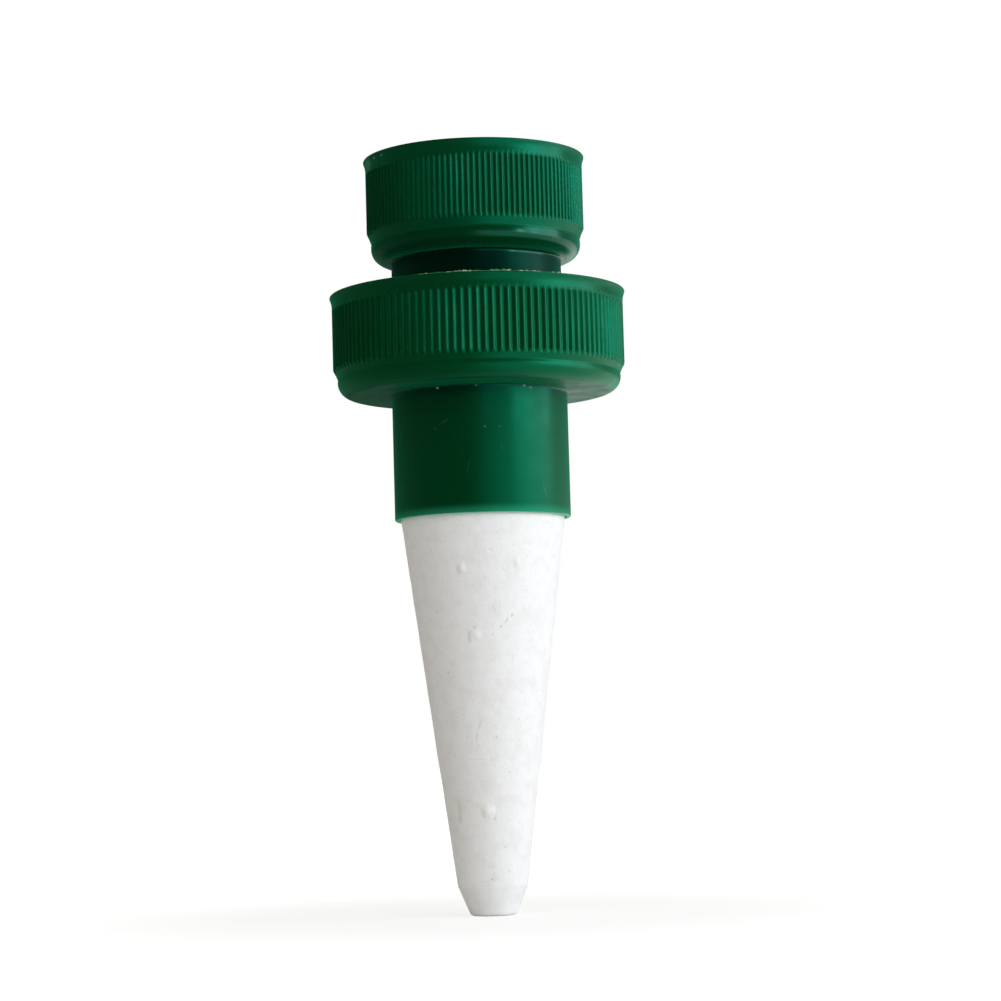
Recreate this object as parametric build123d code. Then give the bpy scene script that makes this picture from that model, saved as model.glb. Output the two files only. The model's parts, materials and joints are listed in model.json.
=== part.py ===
from build123d import *

import os
from math import cos, radians, sin
from typing import NamedTuple

# Self-watering spike: a porous ceramic cone hangs in the sleeve of a large bottle socket, and a reducer
# for small bottles screws into that socket. Millimetres, +Z up along the common axis.
# Height zero is the sleeve's lower lip, where the soil stops.

# Ceramic cone, below the sleeve
CONE_TOP_RADIUS = 11.3
CONE_LENGTH = 50.15
CONE_END_RADIUS = 4.8
NOSE_LENGTH = 4.05
NOSE_END_RADIUS = 3.25
NOSE_EDGE = 0.5
CONE_WALL = 2.8
CONE_TIP_THICKNESS = 7.0

# Sleeve round the cone's collar
SLEEVE_LENGTH = 17.3
SLEEVE_WALL = 0.75
SLEEVE_CLEARANCE = 0.1
CONE_SEAL_THICKNESS = 1.5
CONE_SEAL_INSET = 0.2

# Large cup, the socket for a wide bottle
LARGE_BORE_RADIUS = 18.8
LARGE_WALL = 1.42
LARGE_HEIGHT = 13.95
LARGE_FLOOR = 1.8
LARGE_GROOVE_DEPTH = 0.38
LARGE_BEAD_INSET = 0.6
LARGE_BEAD_HEIGHT = 2.4
LARGE_BEAD_ROUNDING = 2.0
LARGE_CHAMFER_HEIGHT = 1.6
LARGE_SEAT_WIDTH = 5.3
WATER_HOLE_RADIUS = 8.0

# Small cup, the socket for a narrow bottle
SMALL_BORE_RADIUS = 13.9
SMALL_WALL = 1.22
SMALL_HEIGHT = 14.35
SMALL_FLOOR = 1.6
SMALL_GROOVE_DEPTH = 0.32
SMALL_BEAD_INSET = 0.56
SMALL_BEAD_HEIGHT = 2.7
SMALL_BEAD_ROUNDING = 2.0
SMALL_CHAMFER_HEIGHT = 1.4
SMALL_SEAT_WIDTH = 4.1

# Features that both cups share
RIM_FLARE = 0.32
RIM_FLARE_HEIGHT = 1.3
RIM_BAND = 2.0
RIM_BAND_PROUD = 0.03
RIM_LEAD_IN = 0.6
CREASE_DEPTH = 0.12
BEAD_STEPS = 3
BEAD_ROUNDING_LIMIT = 0.95
GROOVE_COUNT = 120
RIB_SHARE = 0.4
KNURL_ROOT = 0.2
WASHER_THICKNESS = 1.2
WASHER_STEP = 0.3
WASHER_CLEARANCE = 0.15

# Reducer between the two cups
CUP_GAP = 4.7
NECK_WALL = 2.3
THREAD_ROOM = 1.35
PLUG_WALL = 2.1
PLUG_RECESS = 1.6
PLUG_TOP_THICKNESS = 1.8
PLUG_EDGE = 0.7


class Cup(NamedTuple):
    """Sizes of one knurled bottle socket, open end up, on a round stem."""

    base: float
    height: float
    bore: float
    wall: float
    floor: float
    groove_depth: float
    bead_inset: float
    bead_height: float
    bead_rounding: float
    chamfer_height: float
    seat_width: float

    @property
    def rim(self):
        """Height of the open end."""
        return self.base + self.height

    @property
    def crest(self):
        """Radius over the ribs of the knurl."""
        return self.bore + self.wall

    @property
    def groove_floor(self):
        """Radius at the bottom of the grooves."""
        return self.crest - self.groove_depth

    @property
    def band_bottom(self):
        """Height at which the grooves end, under the plain rim band."""
        return self.rim - RIM_BAND

    @property
    def bead(self):
        """Radius of the plain bead round the closed end."""
        return self.crest - self.bead_inset

    @property
    def crease(self):
        """Height of the crease between the bead and the knurl's lower chamfer."""
        return self.base + self.bead_height

    @property
    def crease_radius(self):
        """Radius at the bottom of the crease, where the chamfer starts."""
        return self.bead - CREASE_DEPTH

    @property
    def core(self):
        """Radius of the wall that carries the ribs."""
        return min(self.groove_floor, self.crease_radius) - KNURL_ROOT

    @property
    def floor_top(self):
        """Height of the floor that carries the washer."""
        return self.base + self.floor

    @property
    def washer_top(self):
        """Height of the washer's upper face, where a bottle's lip stops."""
        return self.floor_top + WASHER_THICKNESS

    @property
    def seat_radius(self):
        """Radius of the shallow pocket that centres the washer."""
        return self.bore - WASHER_STEP

    @property
    def seat_inner_radius(self):
        """Radius at which the washer's seat ends."""
        return self.seat_radius - self.seat_width

    def bead_corner(self, stem_radius):
        """Points round the bead's lower corner, beside a stem of the given radius."""
        room = min(self.bead - stem_radius, self.bead_height)
        rounding = min(self.bead_rounding, BEAD_ROUNDING_LIMIT * room)
        turns = [radians(90 * step / BEAD_STEPS) for step in range(BEAD_STEPS + 1)]
        return [
            (self.bead - rounding * (1 - sin(turn)), self.base + rounding * (1 - cos(turn)))
            for turn in turns
        ]

    def outside(self, stem_radius):
        """Corners of the outer wall without its ribs, from the stem up to the rim."""
        band = self.crest + RIM_BAND_PROUD
        return [
            (stem_radius, self.base),
            *self.bead_corner(stem_radius),
            (self.bead, self.crease),
            (self.core, self.crease),
            (self.core, self.band_bottom),
            (band, self.band_bottom),
            (band, self.rim - RIM_FLARE_HEIGHT),
            (band + RIM_FLARE, self.rim),
        ]

    def inside(self):
        """Corners of the inner wall, from the rim down to the floor."""
        return [
            (self.bore + RIM_LEAD_IN, self.rim),
            (self.bore, self.rim - RIM_LEAD_IN),
            (self.bore, self.washer_top),
            (self.seat_radius, self.washer_top),
            (self.seat_radius, self.floor_top),
        ]


LARGE_CUP = Cup(
    base=SLEEVE_LENGTH,
    height=LARGE_HEIGHT,
    bore=LARGE_BORE_RADIUS,
    wall=LARGE_WALL,
    floor=LARGE_FLOOR,
    groove_depth=LARGE_GROOVE_DEPTH,
    bead_inset=LARGE_BEAD_INSET,
    bead_height=LARGE_BEAD_HEIGHT,
    bead_rounding=LARGE_BEAD_ROUNDING,
    chamfer_height=LARGE_CHAMFER_HEIGHT,
    seat_width=LARGE_SEAT_WIDTH,
)

SMALL_CUP = Cup(
    base=LARGE_CUP.rim + CUP_GAP,
    height=SMALL_HEIGHT,
    bore=SMALL_BORE_RADIUS,
    wall=SMALL_WALL,
    floor=SMALL_FLOOR,
    groove_depth=SMALL_GROOVE_DEPTH,
    bead_inset=SMALL_BEAD_INSET,
    bead_height=SMALL_BEAD_HEIGHT,
    bead_rounding=SMALL_BEAD_ROUNDING,
    chamfer_height=SMALL_CHAMFER_HEIGHT,
    seat_width=SMALL_SEAT_WIDTH,
)

# Sizes that follow from the ones above
NOSE_TIP = CONE_LENGTH + NOSE_LENGTH
SLEEVE_BORE = CONE_TOP_RADIUS + SLEEVE_CLEARANCE
SLEEVE_RADIUS = SLEEVE_BORE + SLEEVE_WALL
COLLAR_TOP = SLEEVE_LENGTH - CONE_SEAL_THICKNESS
CHAMBER_RADIUS = CONE_TOP_RADIUS - CONE_WALL
CHAMBER_DEPTH = NOSE_TIP - CONE_TIP_THICKNESS
CONE_TAPER = (CONE_TOP_RADIUS - CONE_END_RADIUS) / CONE_LENGTH
CHAMBER_END_RADIUS = CHAMBER_RADIUS - CONE_TAPER * CHAMBER_DEPTH
NECK_BORE = SMALL_CUP.seat_inner_radius
NECK_RADIUS = NECK_BORE + NECK_WALL
PLUG_RADIUS = LARGE_BORE_RADIUS - THREAD_ROOM
PLUG_BORE = PLUG_RADIUS - PLUG_WALL
PLUG_TOP = LARGE_CUP.rim - PLUG_RECESS
PLUG_CEILING = PLUG_TOP - PLUG_TOP_THICKNESS


def turned(outline):
    """Solid of revolution from the (radius, height) corners of its section."""
    return revolve(Plane.XZ * make_face(Polyline(*outline, close=True)), axis=Axis.Z)


def flat_ring(inner_radius, outer_radius, bottom, thickness):
    """Flat washer with its lower face at the given height."""
    return Pos(0, 0, bottom) * extrude(Circle(outer_radius) - Circle(inner_radius), thickness)


def polygon(corners, height):
    """Flat face at the given height from (radius, angle in degrees) corners."""
    points = [(radius * cos(radians(angle)), radius * sin(radians(angle))) for radius, angle in corners]
    return Pos(0, 0, height) * make_face(Polyline(*points, close=True))


def knurl_ring(cup):
    """Ring of flat ribs with pointed grooves between them, its lower end chamfered rib by rib."""
    step = 360 / GROOVE_COUNT
    half_rib = RIB_SHARE * step / 2
    ribs = [rib * step for rib in range(GROOVE_COUNT)]
    teeth = []
    for middle in ribs:
        teeth += [
            (cup.crest, middle - half_rib),
            (cup.crest, middle + half_rib),
            (cup.groove_floor, middle + step / 2),
        ]
    bottom = cup.crease - KNURL_ROOT
    top = cup.band_bottom + KNURL_ROOT
    toothed = extrude(polygon(teeth, bottom), top - bottom)

    slope = (cup.crest - cup.crease_radius) / cup.chamfer_height

    def chamfer_section(height):
        """Many-sided section of the chamfer, with one side for each rib."""
        inner_radius = cup.crease_radius + slope * (height - cup.crease)
        return polygon([(inner_radius / cos(radians(step / 2)), middle + step / 2) for middle in ribs], height)

    chamfered = toothed & loft([chamfer_section(bottom), chamfer_section(top)], ruled=True)
    hollow = extrude(Pos(0, 0, bottom) * Circle((cup.bore + cup.core) / 2), top - bottom)
    return chamfered - hollow


def ceramic_cone():
    """Hollow cone with a chamfered nose, and a straight collar that goes up into the sleeve."""
    return turned(
        [
            (0, -NOSE_TIP),
            (NOSE_END_RADIUS - NOSE_EDGE, -NOSE_TIP),
            (NOSE_END_RADIUS, -NOSE_TIP + NOSE_EDGE),
            (CONE_END_RADIUS, -CONE_LENGTH),
            (CONE_TOP_RADIUS, 0),
            (CONE_TOP_RADIUS, COLLAR_TOP),
            (CHAMBER_RADIUS, COLLAR_TOP),
            (CHAMBER_RADIUS, 0),
            (CHAMBER_END_RADIUS, -CHAMBER_DEPTH),
            (0, -CHAMBER_DEPTH),
        ]
    )


def cone_seal_ring():
    """Rubber ring between the top of the cone's collar and the web above it."""
    return flat_ring(
        CHAMBER_RADIUS + CONE_SEAL_INSET,
        CONE_TOP_RADIUS - CONE_SEAL_INSET,
        COLLAR_TOP,
        CONE_SEAL_THICKNESS,
    )


def large_bottle_socket():
    """Sleeve for the cone and the large knurled cup on it, with a water hole through the floor."""
    body = turned(
        [
            (SLEEVE_BORE, 0),
            (SLEEVE_RADIUS, 0),
            *LARGE_CUP.outside(SLEEVE_RADIUS),
            *LARGE_CUP.inside(),
            (WATER_HOLE_RADIUS, LARGE_CUP.floor_top),
            (WATER_HOLE_RADIUS, LARGE_CUP.base),
            (SLEEVE_BORE, LARGE_CUP.base),
        ]
    )
    return body + knurl_ring(LARGE_CUP)


def small_bottle_reducer():
    """Small knurled cup on a hollow neck, with the plug that screws into the large cup."""
    body = turned(
        [
            (PLUG_BORE, LARGE_CUP.washer_top),
            (PLUG_RADIUS, LARGE_CUP.washer_top),
            (PLUG_RADIUS, PLUG_TOP - PLUG_EDGE),
            (PLUG_RADIUS - PLUG_EDGE, PLUG_TOP),
            (NECK_RADIUS, PLUG_TOP),
            *SMALL_CUP.outside(NECK_RADIUS),
            *SMALL_CUP.inside(),
            (NECK_BORE, SMALL_CUP.floor_top),
            (NECK_BORE, PLUG_CEILING),
            (PLUG_BORE, PLUG_CEILING),
        ]
    )
    return body + knurl_ring(SMALL_CUP)


def seal_washer(cup):
    """Flat rubber washer in the pocket of a cup's floor."""
    return flat_ring(
        cup.seat_inner_radius + WASHER_CLEARANCE,
        cup.seat_radius - WASHER_CLEARANCE,
        cup.floor_top,
        WASHER_THICKNESS,
    )


PIECES = {
    "ceramic_cone": ceramic_cone(),
    "cone_seal_ring": cone_seal_ring(),
    "large_bottle_socket": large_bottle_socket(),
    "large_seal_washer": seal_washer(LARGE_CUP),
    "small_bottle_reducer": small_bottle_reducer(),
    "small_seal_washer": seal_washer(SMALL_CUP),
}

os.makedirs("parts", exist_ok=True)
for name, piece in PIECES.items():
    export_step(piece, f"parts/{name}.step")
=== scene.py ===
"""Self-watering spike: a white porous ceramic cone under two knurled green bottle sockets.

Sizes are in millimetres, and those of the studio's floor, surround and lamps in metres. Angles round the
axis are in degrees, from the side that faces the camera towards the right.
"""

import json
import logging
import math
from collections import defaultdict
from dataclasses import dataclass
from enum import Enum
from functools import cached_property
from typing import Any, Iterable, NamedTuple

import bmesh
import bpy
import numpy as np
from mathutils import Euler, Matrix, Vector


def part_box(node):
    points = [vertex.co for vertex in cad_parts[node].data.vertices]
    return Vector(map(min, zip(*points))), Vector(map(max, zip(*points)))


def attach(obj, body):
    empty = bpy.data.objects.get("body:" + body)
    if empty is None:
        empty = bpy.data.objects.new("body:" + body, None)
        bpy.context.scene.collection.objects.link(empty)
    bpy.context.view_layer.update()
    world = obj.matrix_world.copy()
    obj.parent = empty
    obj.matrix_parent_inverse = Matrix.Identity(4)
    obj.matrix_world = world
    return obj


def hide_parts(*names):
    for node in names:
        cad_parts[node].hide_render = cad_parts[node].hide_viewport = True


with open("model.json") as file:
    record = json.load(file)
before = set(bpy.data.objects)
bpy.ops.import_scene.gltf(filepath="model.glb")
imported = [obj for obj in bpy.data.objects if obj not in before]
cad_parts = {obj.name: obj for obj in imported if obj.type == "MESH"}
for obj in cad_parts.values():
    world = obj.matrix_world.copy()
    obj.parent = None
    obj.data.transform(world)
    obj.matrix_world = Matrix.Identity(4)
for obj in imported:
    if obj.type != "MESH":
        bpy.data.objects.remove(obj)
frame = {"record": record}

MM = 0.001
IMAGE_SIDE = 1001
SENSOR_WIDTH = 36.0
MERGE_DISTANCE = 0.002
BOX_MARGIN = 0.005

Colour = tuple[float, float, float]
Point = tuple[float, float]
Socket = bpy.types.NodeSocket

WHITE: Colour = (1.0, 1.0, 1.0)

log = logging.getLogger("spike")


class Body(Enum):
    """Bodies of the moving model that a piece can ride on."""

    SPIKE = "spike"
    SMALL_WASHER = "small_washer"
    REDUCER = "reducer"


class Slot(Enum):
    """Material slots of the record."""

    CERAMIC = "ceramic"
    GREEN_PLASTIC = "green_plastic"
    SEAL_RUBBER = "seal_rubber"


class NodeSize(NamedTuple):
    """Radius, lowest and highest level of one round node of the frame."""

    radius: float
    bottom: float
    top: float


def node_size(node: str) -> NodeSize:
    """Radius, bottom and top of a round node of the frame."""
    low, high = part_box(node)
    return NodeSize(high.x / MM, low.z / MM, high.z / MM)


def mount_radius(name: str) -> float:
    """Radius that the record gives for a mount."""
    mounts = {mount["name"]: mount for mount in frame["record"]["mounts"]}
    return mounts[name]["dims"]["r_mm"]


def on_surface(angle: float, radius: float, height: float) -> Vector:
    """Point at an angle round the axis, a distance from it and a level."""
    turn = math.radians(angle)
    return Vector((radius * math.sin(turn), -radius * math.cos(turn), height))


class Corner(NamedTuple):
    """One corner of a turned outline, with the radius that rounds it and the steps of that arc."""

    radius: float
    height: float
    rounding: float = 0.0
    steps: int = 3


def rounded(corners: list[Corner], closed: bool = True) -> list[Point]:
    """Replace each rounded corner of an outline by an arc.

    Args:
        corners: Corners in order.
        closed: Whether the last corner joins the first.

    Returns:
        Points (radius, height) of the outline.
    """
    points: list[Point] = []
    for index, corner in enumerate(corners):
        here = Vector((corner.radius, corner.height))
        inner = closed or 0 < index < len(corners) - 1
        if not inner or not corner.rounding:
            points.append(tuple(here))
            continue
        before = corners[index - 1]
        after = corners[(index + 1) % len(corners)]
        back = (Vector((before.radius, before.height)) - here).normalized()
        ahead = (Vector((after.radius, after.height)) - here).normalized()
        half = back.angle(ahead) / 2
        reach = corner.rounding / math.tan(half)
        centre = here + (back + ahead).normalized() * corner.rounding / math.sin(half)
        start = here + back * reach - centre
        end = here + ahead * reach - centre
        sweep = start.angle_signed(end)
        for step in range(corner.steps + 1):
            spoke = start.copy()
            spoke.rotate(Matrix.Rotation(-sweep * step / corner.steps, 2))
            points.append(tuple(centre + spoke))
    return points


class Bench:
    """One new mesh in edit mode, shaped by mesh operators."""

    def __init__(self, name: str) -> None:
        """Name the object that was just added and open its mesh with all of it selected.

        Args:
            name: Name of the piece.
        """
        self.piece: bpy.types.Object = bpy.context.active_object
        self.piece.name = name
        self.mesh: bpy.types.Mesh = self.piece.data
        self.mesh.name = name
        bpy.ops.object.mode_set(mode="EDIT")
        bpy.ops.mesh.select_mode(type="VERT")
        bpy.ops.mesh.select_all(action="SELECT")

    @classmethod
    def from_point(cls, name: str) -> "Bench":
        """Start from a plane that is merged to one point on the axis.

        Args:
            name: Name of the piece.

        Returns:
            The bench.
        """
        cls.clear()
        bpy.ops.mesh.primitive_plane_add(size=MM)
        bench = cls(name)
        bpy.ops.mesh.merge(type="CENTER")
        return bench

    @classmethod
    def from_ring(cls, name: str, radius: float, columns: int) -> "Bench":
        """Start from a bare ring of edges round the axis.

        Args:
            name: Name of the piece.
            radius: Radius of the ring.
            columns: Count of its points.

        Returns:
            The bench.
        """
        cls.clear()
        bpy.ops.mesh.primitive_circle_add(vertices=columns, radius=radius * MM)
        return cls(name)

    @staticmethod
    def clear() -> None:
        """Deselect every object."""
        bpy.ops.object.select_all(action="DESELECT")

    def places(self) -> np.ndarray:
        """Places of all vertices, one row each."""
        return np.array([vertex.co for vertex in bmesh.from_edit_mesh(self.mesh).verts]) / MM

    def pick(self, chosen: Iterable[int]) -> None:
        """Select some vertices and nothing else.

        Args:
            chosen: Their numbers.
        """
        bpy.ops.mesh.select_all(action="DESELECT")
        grid = bmesh.from_edit_mesh(self.mesh)
        grid.verts.ensure_lookup_table()
        for index in chosen:
            grid.verts[int(index)].select = True
        grid.select_flush_mode()
        bmesh.update_edit_mesh(self.mesh, loop_triangles=False, destructive=False)

    def move(self, step: Vector) -> None:
        """Shift the selection by a step."""
        bpy.ops.transform.translate(value=step * MM)

    def extrude(self, step: Vector) -> None:
        """Extrude the selection by a step."""
        bpy.ops.mesh.extrude_region_move(TRANSFORM_OT_translate={"value": step * MM})

    def resize(self, factors: tuple[float, float, float], centre: Vector = Vector()) -> None:
        """Scale the selection along each axis from a point that stays."""
        bpy.ops.transform.resize(value=factors, center_override=tuple(centre * MM))

    def draw(self, outline: list[Point], closed: bool = True) -> None:
        """Draw an outline in the XZ plane by extruding one point.

        Args:
            outline: Points (radius, height).
            closed: Whether the last point joins the first.
        """
        spots = [Vector((radius, 0, height)) for radius, height in outline]
        self.move(spots[0])
        for before, after in zip(spots, spots[1:]):
            self.extrude(after - before)
        if closed:
            self.pick([0, len(spots) - 1])
            bpy.ops.mesh.edge_face_add()

    def cut(self, first: int, cuts: int) -> None:
        """Divide the edge from one point of the outline to the next by a count of new points."""
        self.pick([first, first + 1])
        bpy.ops.mesh.subdivide(number_cuts=cuts)

    def spin(self, columns: int, angle: float = 360.0) -> None:
        """Turn the outline round the axis.

        Args:
            columns: Count of columns.
            angle: How far it turns.
        """
        bpy.ops.mesh.select_all(action="SELECT")
        bpy.ops.mesh.spin(steps=columns, angle=math.radians(angle), center=(0, 0, 0), axis=(0, 0, 1))
        self.weld()

    def repeat(self, times: int) -> None:
        """Copy a wedge round the axis until it closes.

        Args:
            times: Count of wedges in the whole turn.
        """
        bpy.ops.mesh.select_all(action="SELECT")
        sweep = 2 * math.pi * (times - 1) / times
        bpy.ops.mesh.spin(steps=times - 1, dupli=True, angle=sweep, center=(0, 0, 0), axis=(0, 0, 1))
        self.weld()

    def weld(self) -> None:
        """Merge points that coincide and turn all faces outwards."""
        bpy.ops.mesh.select_all(action="SELECT")
        bpy.ops.mesh.remove_doubles(threshold=MERGE_DISTANCE * MM)
        bpy.ops.mesh.normals_make_consistent(inside=False)

    def close(self, smooth_angle: float = 50.0) -> bpy.types.Object:
        """Leave edit mode with smooth shading.

        Args:
            smooth_angle: Edges that turn more than this many degrees stay sharp.

        Returns:
            The finished object.
        """
        bpy.ops.object.mode_set(mode="OBJECT")
        bpy.ops.object.shade_smooth_by_angle(angle=math.radians(smooth_angle))
        self.clear()
        return self.piece

    def modify(self, kind: str, **settings: Any) -> None:
        """Add a modifier and apply it, from edit mode and back to it.

        Args:
            kind: Blender's name for the modifier.
            settings: Its settings.
        """
        bpy.ops.object.mode_set(mode="OBJECT")
        bpy.ops.object.modifier_add(type=kind)
        modifier = self.piece.modifiers[-1]
        for name, value in settings.items():
            setattr(modifier, name, value)
        bpy.ops.object.modifier_apply(modifier=modifier.name)
        bpy.ops.object.mode_set(mode="EDIT")


@dataclass(frozen=True)
class Noise:
    """Noise with features of one size, the values between which it shows, and its depth as relief."""

    size: float
    detail: float = 2.0
    roughness: float = 0.5
    start: float = 0.3
    end: float = 0.7
    depth: float = 0.0


class Graph:
    """Node tree of one new material or world, built node by node."""

    def __init__(self, owner: Any) -> None:
        """Empty the node tree of a material or world.

        Args:
            owner: The material or world.
        """
        owner.use_nodes = True
        self.owner = owner
        self.tree: bpy.types.NodeTree = owner.node_tree
        self.tree.nodes.clear()

    @cached_property
    def place(self) -> Socket:
        """Object coordinates."""
        return self.add("TexCoord").outputs["Object"]

    def add(self, kind: str, values: dict[Any, Any] | None = None, **settings: Any) -> bpy.types.Node:
        """Add a node.

        Args:
            kind: Its type without the ShaderNode in front.
            values: Input name or number, with a constant or the output socket that feeds it.
            settings: Other settings of the node.

        Returns:
            The node.
        """
        node = self.tree.nodes.new(f"ShaderNode{kind}")
        for name, value in settings.items():
            setattr(node, name, value)
        for name, value in (values or {}).items():
            socket = node.inputs[name]
            if isinstance(value, Socket):
                self.tree.links.new(value, socket)
            else:
                socket.default_value = (*value, 1.0) if socket.type == "RGBA" else value
        return node

    def math(self, operation: str, *values: Any) -> Socket:
        """Result of an operation on constants or sockets."""
        return self.add("Math", dict(enumerate(values)), operation=operation).outputs[0]

    def length(self, vector: Socket) -> Socket:
        """Length of a vector."""
        return self.add("VectorMath", {0: vector}, operation="LENGTH").outputs["Value"]

    def ramp(self, value: Any, start: float, end: float, low: float = 0.0, high: float = 1.0) -> Socket:
        """Smooth step from low, where a value is at its start, to high, where it is at its end."""
        values = {0: value, 1: start, 2: end, 3: low, 4: high}
        return self.add("MapRange", values, interpolation_type="SMOOTHSTEP").outputs[0]

    def between(self, share: Socket, first: Any, second: Any) -> Socket:
        """Number between two others, at the second's share."""
        return self.add("Mix", {0: share, 2: first, 3: second}).outputs[0]

    def mix(self, share: Any, first: Any, second: Any) -> Socket:
        """Mixture of two colours, at the second's share."""
        return self.add("Mix", {0: share, 6: first, 7: second}, data_type="RGBA").outputs[2]

    def noise(self, noise: Noise) -> Socket:
        """Values of some noise, around one half."""
        values = {"Scale": 1 / (noise.size * MM), "Detail": noise.detail, "Roughness": noise.roughness}
        return self.add("TexNoise", {"Vector": self.place, **values}).outputs[0]

    def patches(self, noise: Noise, low: float = 0.0, high: float = 1.0) -> Socket:
        """Some noise between the values where it shows, as steps from low to high."""
        return self.ramp(self.noise(noise), noise.start, noise.end, low, high)

    def bump(self, height: Socket, depth: float, below: Socket | None = None) -> Socket:
        """Bump map.

        Args:
            height: Height of the relief, from 0 to 1.
            depth: Its real depth.
            below: Normal of the bump under this one.

        Returns:
            The normal.
        """
        values = {"Height": height, "Strength": 1.0, "Distance": depth * MM}
        if below is not None:
            values["Normal"] = below
        return self.add("Bump", values).outputs[0]

    def relief(self, noise: Noise, below: Socket | None = None) -> Socket:
        """Normal of some noise as a bump, over the bump below it."""
        return self.bump(self.noise(noise), noise.depth, below)


class MarkKind(Enum):
    """What a small mark is."""

    SCRATCH = "scratch"
    BLISTER = "blister"
    STAIN = "stain"
    DUST = "dust"


@dataclass(frozen=True)
class Mark:
    """A small oval flaw on a round face, at full strength in its core."""

    kind: MarkKind
    angle: float
    height: float
    half_width: float
    half_height: float
    lean: float
    strength: float
    core: float = 0.35

    @classmethod
    def group(cls, kind: MarkKind, *rows: tuple[float, ...]) -> tuple["Mark", ...]:
        """Marks of one kind, each from a row of the fields from the angle to the strength."""
        return tuple(cls(kind, *row) for row in rows)

    def frame(self, radius: float) -> tuple[Vector, Euler, Vector]:
        """Place, turn and half sizes of the oval on the face.

        Args:
            radius: Radius of the face at the mark.

        Returns:
            Centre, rotation and half sizes.
        """
        turn = Euler((0, math.radians(self.lean), math.radians(self.angle)))
        depth = max(self.half_width, self.half_height)
        half = Vector((self.half_width, depth, self.half_height))
        return on_surface(self.angle, radius, self.height), turn, half

    def nearness(self, places: np.ndarray, radius: float) -> np.ndarray:
        """How far places are from the mark's centre, as a share of its half sizes.

        Args:
            places: One row for each place.
            radius: Radius of the face at the mark.

        Returns:
            One number for each place: below 1 is inside.
        """
        centre, turn, half = self.frame(radius)
        local = (places - np.array(centre)) @ np.array(turn.to_matrix())
        return np.linalg.norm(local / np.array(half), axis=1)

    def mask(self, graph: Graph, radius: float) -> Socket:
        """Soft mask of the mark.

        Args:
            graph: Graph that gets the nodes.
            radius: Radius of the face at the mark.

        Returns:
            The mark's strength in its core and 0 outside it.
        """
        centre, turn, half = self.frame(radius)
        values = {"Vector": graph.place, "Location": centre * MM, "Rotation": turn, "Scale": half * MM}
        local = graph.add("Mapping", values, vector_type="TEXTURE").outputs[0]
        return graph.ramp(graph.length(local), 1.0, self.core, 0.0, self.strength)


@dataclass(frozen=True)
class Finish:
    """What every finish has: a name and a way to become a material."""

    name: str

    def material(self) -> bpy.types.Material:
        """Build the material.

        Returns:
            The new material.
        """
        graph = Graph(bpy.data.materials.new(self.name))
        shader = graph.add("BsdfPrincipled", self.dress(graph))
        graph.add("OutputMaterial", {"Surface": shader.outputs[0]})
        return graph.owner

    def dress(self, graph: Graph) -> dict[str, Any]:
        """Inputs of the shader, with constants or the sockets of new nodes in the graph."""
        raise NotImplementedError


@dataclass(frozen=True)
class Zone:
    """Stretch of heights with soft ends, where a finish changes."""

    low: float
    high: float
    fade_down: float
    fade_up: float
    strength: float

    def mask(self, graph: Graph, height: Socket) -> Socket:
        """Soft mask of the stretch.

        Args:
            graph: Graph that gets the nodes.
            height: Height in metres.

        Returns:
            The zone's strength inside it and 0 outside.
        """
        above = graph.ramp(height, (self.low - self.fade_down) * MM, self.low * MM)
        below = graph.ramp(height, (self.high + self.fade_up) * MM, self.high * MM, 0.0, self.strength)
        return graph.math("MULTIPLY", above, below)


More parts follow.
